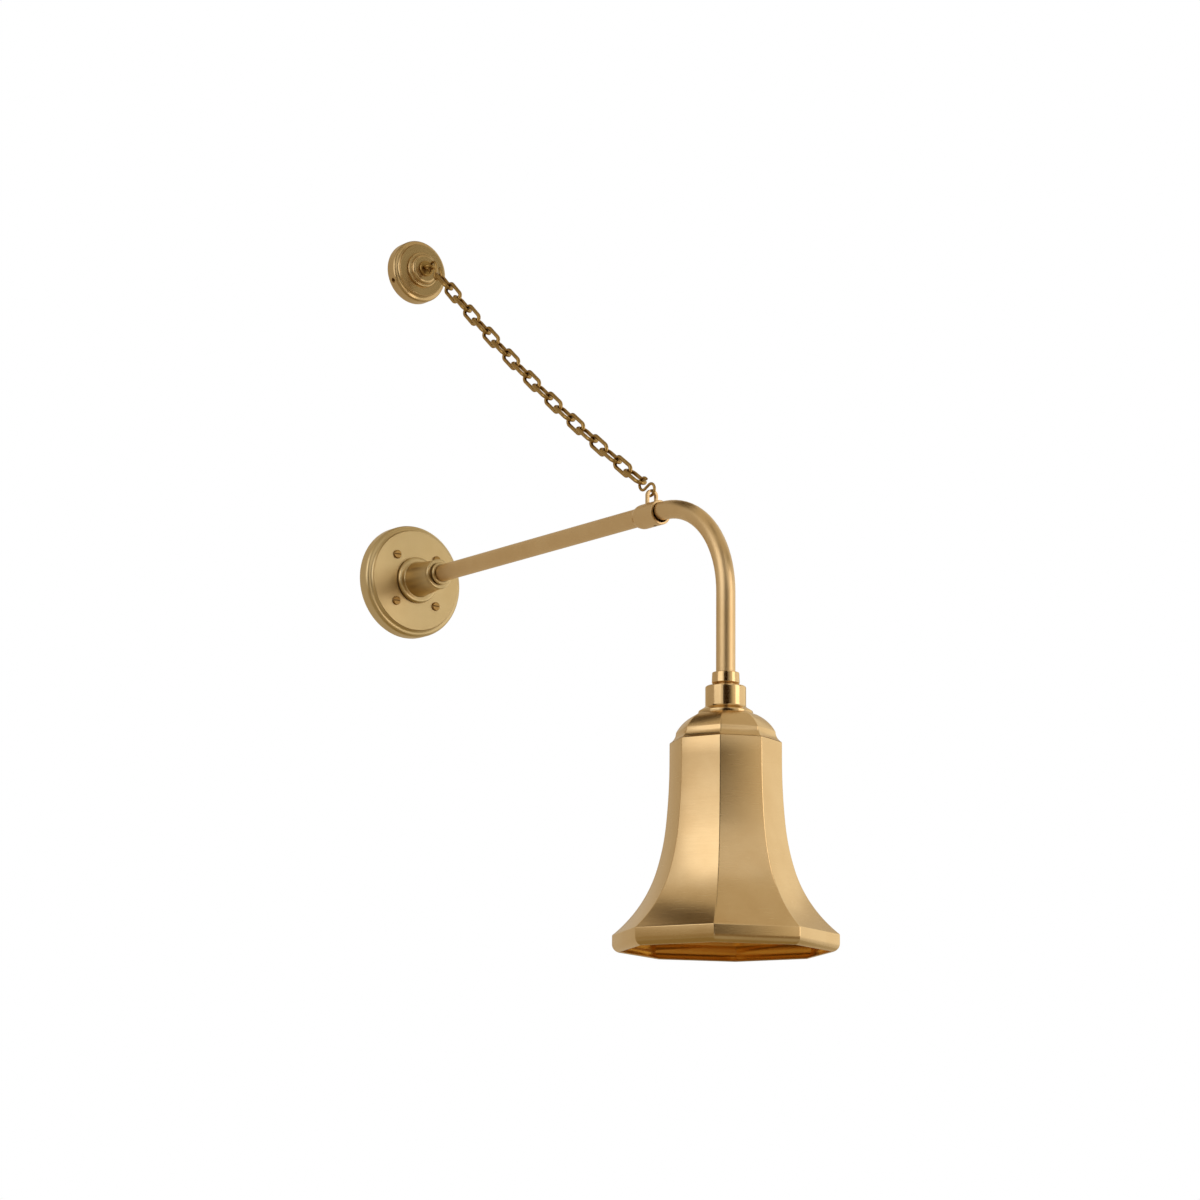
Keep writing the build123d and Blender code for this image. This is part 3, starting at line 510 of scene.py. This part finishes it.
# %% [markdown]
# The arm is drawn tube, brushed along its length before it was bent.  Its highlight is one
# long soft line that follows the bend.  The brush lines are too fine to draw, so the noise
# is an even grain, and only the tangent tells which way they run.  To find it, a point is
# measured from the bend's centre and that offset is clipped: over the straight parts it
# then points square away from the tube, and round the bend it turns.  Crossing it with
# the sideways axis gives the way along the tube.

# %% Tube
BEND_CENTRE = (0, BEND_RADIUS - ARM_REACH, -BEND_RADIUS)
FAR = 9                      # metres, beyond the light on any side
GRAIN = 900.0                # to a metre, about 1.1 mm: real grain is finer, but wouldn't show


def tube_tangent(tree, coords):
    """Direction along the bent arm: out from the wall, round the bend, and down."""
    offset = add_node(tree, "ShaderNodeVectorMath", {1: BEND_CENTRE}, {0: coords},
                      operation="SUBTRACT")
    outer = add_node(tree, "ShaderNodeVectorMath", {1: (0, 0, FAR)}, {0: offset.outputs[0]},
                     operation="MINIMUM")
    above = add_node(tree, "ShaderNodeVectorMath", {1: (0, -FAR, 0)}, {0: outer.outputs[0]},
                     operation="MAXIMUM")
    turned = add_node(tree, "ShaderNodeVectorMath", {0: (1, 0, 0)}, {1: above.outputs[0]},
                      operation="CROSS_PRODUCT")
    return add_node(tree, "ShaderNodeVectorMath", links={0: turned.outputs[0]},
                    operation="NORMALIZE").outputs[0]


def fine_grain(tree, coords):
    """Streaks with no direction: an even fine grain."""
    return add_node(tree, "ShaderNodeVectorMath", {1: (GRAIN,) * 3}, {0: coords},
                    operation="MULTIPLY").outputs[0]


# Drawn tube and its collar: one long satin highlight, with shade painted in only where
# the two meet.
finishes["tube"] = brass("drawn_brass_tube", BRASS_LIGHT, BRASS_DARK, roughness=0.34,
                         brushing=(fine_grain, tube_tangent), spread=0.6, depth=0.01,
                         joints=1.5 * MM)

# %% [markdown]
# The shade's sides are flat sheet, brushed level with a belt.  The noise is stretched
# sideways, so it changes quickly upwards and slowly along, and the tangent is level in
# each face.  The inside was left bright, and glows deep yellow, because light bounces
# there from brass to brass.

# %% Shade, outside and inside
LINE_ENDS = 30.0             # to a metre: a level line runs about 33 mm


def level_lines(tree, coords):
    """Streaks that run level round the shade."""
    return add_node(tree, "ShaderNodeVectorMath",
                    {1: (LINE_ENDS, LINE_ENDS, 1 / LINE_SPACING)}, {0: coords},
                    operation="MULTIPLY").outputs[0]


def level_tangent(tree, coords):
    """Level direction in the surface."""
    normal = add_node(tree, "ShaderNodeNewGeometry").outputs["Normal"]
    cross = add_node(tree, "ShaderNodeVectorMath", {0: UPRIGHT}, {1: normal},
                     operation="CROSS_PRODUCT")
    return add_node(tree, "ShaderNodeVectorMath", links={0: cross.outputs[0]},
                    operation="NORMALIZE").outputs[0]


# Brushed shade: flat faces that each hold one tone and change it at the corner.
finishes["shade"] = brass("brushed_brass_shade", BRASS_LIGHT, BRASS_DARK, roughness=0.25,
                          brushing=(level_lines, level_tangent), spread=0.4, coat=0.05,
                          depth=0.03)

# Bright inside, also for the nipples, the nut and the holder's contacts: a yellow glow.
finishes["inside"] = brass("bright_brass_inside", "#F2CC80", "#E2B464", roughness=0.24,
                           brushing=(level_lines, level_tangent), coat=0.0, depth=0.03)

# %% [markdown]
# The links were tumbled in a drum, which leaves no lines at all, only a worn brown tone.
# Where wire lies on wire the colour is darker still: painted shade.  The grain is the same
# fine noise as the tube's, without a tangent.  Screws are cut from bar, and shade is
# painted into the slot.

# %% Wire and screws

# Tumbled wire, for links, hooks and eye: browner than the arm, bright on the outer curves.
# Where wire meets wire, shade is painted into the colour.
finishes["wire"] = brass("tumbled_brass_wire", "#AA864A", "#745424", roughness=0.34,
                         brushing=(fine_grain, None), spread=0.0, patches=160.0,
                         joints=2.0 * MM)

# Machined screws: small and brown, with shade painted into the slot.
finishes["screw"] = brass("machined_brass_screw", "#A8824A", "#7C5A2C", roughness=0.3,
                          brushing=(fine_grain, None), spread=0.0, joints=2.5 * MM)

# %% [markdown]
# Behind the plate and inside the shade the light is ordinary hardware: zinc-plated steel,
# ceramic, nylon.  These finishes need less: a mottled tone, a little unevenness in the
# gloss, and a bump that is barely there.  One helper makes them all.  Only the braid's
# spots have their real size: the others are finer, and are drawn as coarse as shows.

# %% Plain finishes
MOTTLE_HEIGHT = 0.05 * MM
MOTTLE_BUMP = 0.3
MOTTLE_SMOOTHER = 0.06       # how far the roughness falls and rises
MOTTLE_ROUGHER = 0.08
GLAZE_GLOSS = 0.05           # roughness of the clear glaze


def plain(name, light_tone, dark_tone, roughness, metallic, spots, coat=0.0):
    """A plated, glazed or moulded finish with fine mottling, in spots to a metre."""
    material, tree = new_material(name)
    coords = add_node(tree, "ShaderNodeTexCoord").outputs["Object"]
    mottle = add_node(tree, "ShaderNodeTexNoise",
                      {"Scale": spots, "Detail": 5.0, "Roughness": 0.6}, {"Vector": coords})
    colour = add_node(tree, "ShaderNodeMix", {"A": linear(dark_tone), "B": linear(light_tone)},
                      {"Factor": mottle.outputs["Fac"]}, data_type="RGBA")
    rough = add_node(tree, "ShaderNodeMapRange",
                     {"To Min": roughness - MOTTLE_SMOOTHER,
                      "To Max": roughness + MOTTLE_ROUGHER},
                     {"Value": mottle.outputs["Fac"]})
    bump = add_node(tree, "ShaderNodeBump",
                    {"Strength": MOTTLE_BUMP, "Distance": MOTTLE_HEIGHT},
                    {"Height": mottle.outputs["Fac"]})
    surface = add_node(tree, "ShaderNodeBsdfPrincipled",
                       {"Metallic": metallic, "Coat Weight": coat,
                        "Coat Roughness": GLAZE_GLOSS},
                       {"Base Color": colour.outputs["Result"], "Roughness": rough.outputs[0],
                        "Normal": bump.outputs[0]})
    add_node(tree, "ShaderNodeOutputMaterial", links={"Surface": surface.outputs[0]})
    print("plain finish", name, "spots of", round(1 / spots / MM, 1), "mm")
    return material


# Zinc plate on steel: cool grey with faint crystals, which sets it apart from the brass.
finishes["zinc"] = plain("zinc_plated_steel", "#C3C6C8", "#9EA2A6", roughness=0.4,
                         metallic=1.0, spots=220.0)

# Green passivated steel: the earth screw is green so that nobody mistakes it.
finishes["earth"] = plain("green_passivated_steel", "#2F7A46", "#1E5A33", roughness=0.42,
                          metallic=0.6, spots=300.0)

# Glazed steatite: creamy white under clear glass, with a small sharp highlight.
finishes["ceramic"] = plain("glazed_steatite", "#EFEDE4", "#E2DED0", roughness=0.22,
                            metallic=0.0, spots=120.0, coat=0.6)

# Black nylon: nearly no shine, so the bush reads as a hole's soft rim.
finishes["bush"] = plain("black_nylon", "#24242A", "#141416", roughness=0.5,
                         metallic=0.0, spots=400.0)

# Gold braid over the lead: dull cloth, with threads about 0.7 mm wide.
finishes["braid"] = plain("gold_braided_sheath", "#A98550", "#7A5C30", roughness=0.7,
                          metallic=0.0, spots=1500.0)

# %% [markdown]
# The measured pieces come without a finish of their own.  Listed by finish, the object can
# be read the way a workshop would sort it: what goes to the lathe, what to the belt, and
# what to the drum.

# %% Which finish each measured piece gets
links_of_chain = [node for node in nodes if node.startswith("chain_link")]
dressing = {
    "plate": ["wall_plate"],
    "rosette": ["rosette"],
    "drop": ["drop_coupler", "holder_cup"],
    "gallery": ["shade_gallery", "shade_ring"],
    "socket": ["arm_socket", "tube_ferrule"],
    "tube": ["arm_tube", "chain_collar"],
    "inside": ["screw_shell", "centre_contact", "holder_nipple", "arm_nipple", "arm_lock_nut"],
    "wire": ["eye_bolt", "upper_hook", "lower_hook"] + links_of_chain,
    "screw": ["plate_screws", "rosette_grub_screws", "collar_screw", "eye_nut"],
    "zinc": ["wall_bracket", "bracket_posts", "rosette_backing"],
    "earth": ["earth_screw"],
    "ceramic": ["lamp_body"],
    "bush": ["lead_bush"],
    "braid": ["arm_lead"],
}
for finish, members in dressing.items():
    for node in members:
        nodes[node].data.materials.clear()
        nodes[node].data.materials.append(finishes[finish])
print("dressed", sum(len(members) for members in dressing.values()), "measured pieces")

# %% [markdown]
# The shade is folded and soldered from sheet, so its corners are soft: each has a small
# round that catches a thread of light.  The measured shade has knife-sharp corners, so it
# is redrawn here.  It could be cut from a block or built face by face.  Drawing its outline
# once and spinning it in eight steps is shorter, and keeps all sides alike.
#
# The pen has three strokes: a straight run, an arc about a centre, and an arc through a
# middle point.  The first extrudes the last point of the outline, and the others spin it.

# %% Pen for the outline


def run_to(bm, tip, width, height):
    """Draw a straight run from the last point."""
    made = bmesh.ops.extrude_vert_indiv(bm, verts=[tip])["verts"][0]
    made.co = Vector((width, 0, height))
    return made


def arc_about(bm, tip, centre, degrees, steps):
    """Draw an arc from the last point; positive turns from upright towards the axis."""
    made = bmesh.ops.spin(bm, geom=[tip], cent=(centre[0], 0, centre[1]), axis=(0, 1, 0),
                          angle=math.radians(degrees), steps=steps, use_merge=False)
    return [g for g in made["geom_last"] if isinstance(g, bmesh.types.BMVert)][0]


def arc_through(bm, tip, middle, end, steps):
    """Draw an arc from the last point through a middle point to an end point."""
    a, b, c = (Vector((p[0], p[1])) for p in ((tip.co.x, tip.co.z), middle, end))
    spread = 2 * (a.x * (b.y - c.y) + b.x * (c.y - a.y) + c.x * (a.y - b.y))
    across = (a.length_squared * (b.y - c.y) + b.length_squared * (c.y - a.y)
              + c.length_squared * (a.y - b.y)) / spread
    height = (a.length_squared * (c.x - b.x) + b.length_squared * (a.x - c.x)
              + c.length_squared * (b.x - a.x)) / spread
    start = math.degrees(math.atan2(a.y - height, a.x - across))
    finish = math.degrees(math.atan2(c.y - height, c.x - across))
    return arc_about(bm, tip, (across, height), start - finish, steps)


shade_low, shade_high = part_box("shade")
SHADE_TOP = shade_high.z
print("shade from", round(shade_low.z, 4), "to", round(SHADE_TOP, 4), "m")

# %% [markdown]
# From the top, the outline starts at the hole for the lamp holder, crosses a narrow flat,
# falls in a dome, and sweeps out again in a small cove to the shoulder.  The dome is an arc
# through three points, because a maker would measure its edge and its belly.

# %% Crown and cove
HOLE_RADIUS = 23.0 * MM      # lies hidden between the flare and the clamping ring
CROWN_FLAT = 27.8 * MM       # edge of the flat top that the flare stands on
CROWN_SIDE = 45.2 * MM       # where the dome turns upright
CROWN_HEIGHT = 17.4 * MM
CROWN_BELLY = 0.62           # place of the dome's middle point along its width
CROWN_SAG = 7.9 * MM         # and how far it has fallen there
COVE_RADIUS = 12.0 * MM
COVE_SWEEP = 57.0            # degrees

bm = bmesh.new()
tip = bm.verts.new((HOLE_RADIUS, 0, SHADE_TOP))
tip = run_to(bm, tip, CROWN_FLAT, SHADE_TOP)
crown_foot = SHADE_TOP - CROWN_HEIGHT
belly = CROWN_FLAT + CROWN_BELLY * (CROWN_SIDE - CROWN_FLAT)
tip = arc_through(bm, tip, (belly, SHADE_TOP - CROWN_SAG), (CROWN_SIDE, crown_foot), steps=16)
tip = arc_about(bm, tip, (CROWN_SIDE + COVE_RADIUS, crown_foot), -COVE_SWEEP, steps=10)
shoulder = tip.co.z
print("cove ends", round(tip.co.x / MM, 2), "mm out and",
      round((SHADE_TOP - shoulder) / MM, 2), "mm down")

# %% [markdown]
# At the shoulder the sheet is folded down.  The side hangs upright at first, then opens in
# three arcs that each start the way the last one ended, so no line shows between them.  At
# the foot a second fold turns it upright again, and the lip rolls slightly inwards.

# %% Side, bell and lip
SIDE_HALF_WIDTH = 51.0 * MM
SIDE_HEIGHT = 18.0 * MM      # upright part under the shoulder
FOLD = 0.9 * MM              # outside radius where the sheet is folded
LIP_FOLD = 1.2 * MM          # the fold where the flare meets the lip
LIP_HEIGHT = 8.065 * MM
LIP_ROLL = 8.5 * MM
LIP_SWEEP = 72.0             # degrees
BELL_ARCS = (                # radius, degrees from upright at its lower end, steps
    (672.0 * MM, 5.4, 10),
    (242.0 * MM, 16.0, 10),
    (129.0 * MM, 48.95, 22),
)

tip = run_to(bm, tip, SIDE_HALF_WIDTH - FOLD, shoulder)
tip = arc_about(bm, tip, (SIDE_HALF_WIDTH - FOLD, shoulder - FOLD), 90, steps=4)
tip = run_to(bm, tip, SIDE_HALF_WIDTH, shoulder - SIDE_HEIGHT)
lean = 0.0
for radius, next_lean, steps in BELL_ARCS:
    centre = (tip.co.x + radius * math.cos(math.radians(lean)),
              tip.co.z + radius * math.sin(math.radians(lean)))
    tip = arc_about(bm, tip, centre, -(next_lean - lean), steps)
    lean = next_lean
fold_centre = (tip.co.x - LIP_FOLD * math.cos(math.radians(lean)),
               tip.co.z - LIP_FOLD * math.sin(math.radians(lean)))
tip = arc_about(bm, tip, fold_centre, lean, steps=5)
lip = tip.co.x
tip = run_to(bm, tip, lip, tip.co.z - LIP_HEIGHT)
tip = arc_about(bm, tip, (lip - LIP_ROLL, tip.co.z), LIP_SWEEP, steps=10)
print("outline of", len(bm.verts), "points, lip", round(lip / MM, 2), "mm out, foot",
      round(tip.co.z / MM, 2))

# %% [markdown]
# A spin of a full turn in eight steps joins eight copies of the outline with flat faces.
# The copies are the corners, and a corner stands further out than the middle of a side, so
# the outline is widened first.  Points that meet at the closing seam are merged.

# %% Spin the outline into eight sides
SIDES = 8
MERGE_DISTANCE = 1e-6

corner_reach = 1 / math.cos(math.pi / SIDES)
bmesh.ops.scale(bm, vec=(corner_reach, 1, 1), verts=bm.verts)
bmesh.ops.spin(bm, geom=bm.verts[:] + bm.edges[:], cent=(0, 0, 0), axis=UPRIGHT,
               angle=math.tau, steps=SIDES, use_merge=True)
bmesh.ops.remove_doubles(bm, verts=bm.verts, dist=MERGE_DISTANCE)
print("spun", len(bm.faces), "faces, corner reaches", round(corner_reach, 4), "of a side")

# %% [markdown]
# Only the edges that run down a corner are rounded.  Both ends of such an edge lie the same
# way from the axis, which tells it from the level edges.  Then the shade moves out to the
# end of the arm, in its mesh, so that its object stays at the origin.

# %% Round the corners
CORNER_ROUND = 0.8 * MM
SAME_WAY = 1.0               # degrees


def is_corner(edge):
    """True for an edge that runs down a corner of the shade, not round it."""
    a, b = (v.co for v in edge.verts)
    angle = (math.degrees(math.atan2(a.y, a.x)) - math.degrees(math.atan2(b.y, b.x))) % 360
    return min(angle, 360 - angle) < SAME_WAY


corners = [edge for edge in bm.edges if is_corner(edge)]
bmesh.ops.bevel(bm, geom=corners, offset=CORNER_ROUND, offset_type="OFFSET", segments=3,
                profile=0.5, affect="EDGES", material=-1, clamp_overlap=True)
bmesh.ops.recalc_face_normals(bm, faces=bm.faces)
bmesh.ops.translate(bm, vec=(0, -ARM_REACH, 0), verts=bm.verts)
for face in bm.faces:
    face.smooth = True
print("rounded", len(corners), "edges")

# %% [markdown]
# So far the shade is a skin without thickness.  The Solidify modifier gives it the sheet's,
# inwards, and even offset keeps it equal round the folds.  Its material offset puts the
# bright inside on the inner skin and leaves the rim brushed.  Edges that turn sharply are
# marked sharp, so that smooth shading stops there.

# %% Give the sheet its thickness
SHEET = 1.5 * MM
SHARP_FROM = math.radians(32)

mesh = bpy.data.meshes.new("bell_shade")
bm.to_mesh(mesh)
bm.free()
mesh.set_sharp_from_angle(angle=SHARP_FROM)
bell_shade = bpy.data.objects.new("bell_shade", mesh)
bpy.context.scene.collection.objects.link(bell_shade)
mesh.materials.append(finishes["shade"])
mesh.materials.append(finishes["inside"])
wall = bell_shade.modifiers.new("sheet", "SOLIDIFY")
wall.thickness = SHEET
wall.offset = -1
wall.use_even_offset = True
wall.material_offset = 1
wall.material_offset_rim = 0
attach(bell_shade, "root")
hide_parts("shade")
print("shade faces", len(mesh.polygons))
